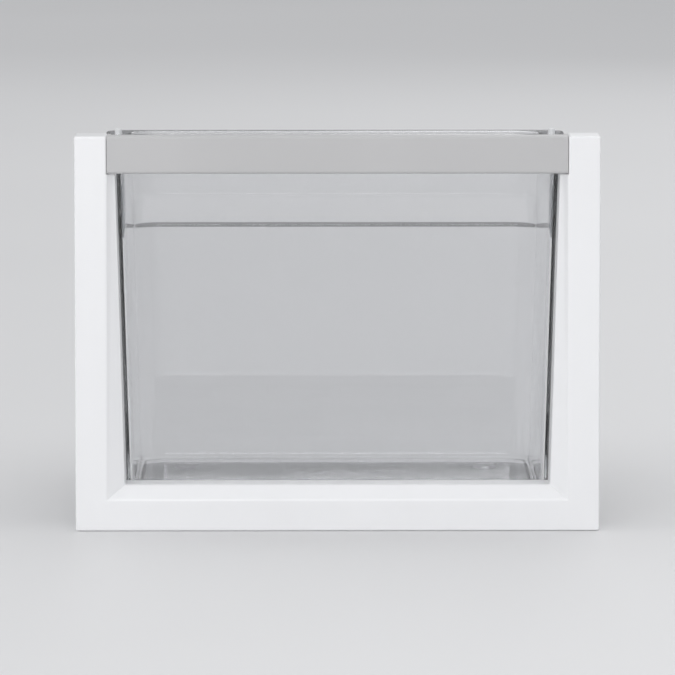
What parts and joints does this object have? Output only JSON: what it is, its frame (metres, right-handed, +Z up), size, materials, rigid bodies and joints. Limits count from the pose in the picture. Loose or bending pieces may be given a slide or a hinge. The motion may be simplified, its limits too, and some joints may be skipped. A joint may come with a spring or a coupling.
{
  "type": "refrigerator pull-out bin on ball-bearing runners",
  "caption": "Clear storage bin with a white front frame and grey pull rail that slides out on telescopic ball-bearing runners and lifts off them.",
  "frame": {"origin": "middle of the bin's underside, at the lowest plane of its feet and front frame, halfway along its depth", "axes": "+X to the right seen from the back, the front faces -Y, +Z up"},
  "size_m": [0.344, 0.35, 0.26],
  "materials": {
    "clear_plastic": "gloss, transparent",
    "white_plastic": "satin",
    "grey_plastic": "satin",
    "runner_steel": "zinc plated",
    "screw_steel": "zinc plated",
    "ball_steel": "polished",
    "cage_plastic": "matte",
    "peg_plastic": "matte",
    "bumper_rubber": "matte"
  },
  "bodies": {
    "cabinet_rails": {"left_outer_rail": "runner_steel", "right_outer_rail": "runner_steel", "left_rear_bumper": "bumper_rubber", "right_rear_bumper": "bumper_rubber"},
    "left_runner": {"left_inner_rail": "runner_steel", "left_bracket": "runner_steel", "left_rivets": "screw_steel", "left_pegs": "peg_plastic"},
    "right_runner": {"right_inner_rail": "runner_steel", "right_bracket": "runner_steel", "right_rivets": "screw_steel", "right_pegs": "peg_plastic"},
    "left_middle": {"left_middle_rail": "runner_steel"},
    "right_middle": {"right_middle_rail": "runner_steel"},
    "left_outer_bearing": {"left_outer_cage": "cage_plastic", "left_outer_balls": "ball_steel"},
    "right_outer_bearing": {"right_outer_cage": "cage_plastic", "right_outer_balls": "ball_steel"},
    "left_inner_bearing": {"left_inner_cage": "cage_plastic", "left_inner_balls": "ball_steel"},
    "right_inner_bearing": {"right_inner_cage": "cage_plastic", "right_inner_balls": "ball_steel"},
    "bin": {"tub": "clear_plastic", "front_frame": "white_plastic", "pull_rail": "grey_plastic", "frame_screws": "screw_steel", "pull_screws": "screw_steel"}
  },
  "joints": [
    {"name": "bin_slide", "type": "slide", "parent": "cabinet_rails", "child": "left_runner", "axis": [0, -1, 0], "range_m": [0, 0.29]},
    {"name": "right_runner_slide", "type": "slide", "parent": "cabinet_rails", "child": "right_runner", "axis": [0, -1, 0], "range_m": [0, 0.29]},
    {"name": "left_middle_slide", "type": "slide", "parent": "cabinet_rails", "child": "left_middle", "axis": [0, -1, 0], "range_m": [0, 0.145]},
    {"name": "right_middle_slide", "type": "slide", "parent": "cabinet_rails", "child": "right_middle", "axis": [0, -1, 0], "range_m": [0, 0.145]},
    {"name": "left_outer_bearing_slide", "type": "slide", "parent": "cabinet_rails", "child": "left_outer_bearing", "axis": [0, -1, 0], "range_m": [0, 0.0725]},
    {"name": "right_outer_bearing_slide", "type": "slide", "parent": "cabinet_rails", "child": "right_outer_bearing", "axis": [0, -1, 0], "range_m": [0, 0.0725]},
    {"name": "left_inner_bearing_slide", "type": "slide", "parent": "cabinet_rails", "child": "left_inner_bearing", "axis": [0, -1, 0], "range_m": [0, 0.2175]},
    {"name": "right_inner_bearing_slide", "type": "slide", "parent": "cabinet_rails", "child": "right_inner_bearing", "axis": [0, -1, 0], "range_m": [0, 0.2175]},
    {"name": "bin_lift", "type": "slide", "parent": "left_runner", "child": "bin", "axis": [0, 0, 1], "range_m": [0, 0.25]}
  ],
  "couplings": [
    {"joint": "right_runner_slide", "follows": "bin_slide", "ratio": 1},
    {"joint": "left_middle_slide", "follows": "bin_slide", "ratio": 0.5},
    {"joint": "right_middle_slide", "follows": "bin_slide", "ratio": 0.5},
    {"joint": "left_outer_bearing_slide", "follows": "bin_slide", "ratio": 0.25},
    {"joint": "right_outer_bearing_slide", "follows": "bin_slide", "ratio": 0.25},
    {"joint": "left_inner_bearing_slide", "follows": "bin_slide", "ratio": 0.75},
    {"joint": "right_inner_bearing_slide", "follows": "bin_slide", "ratio": 0.75}
  ]
}
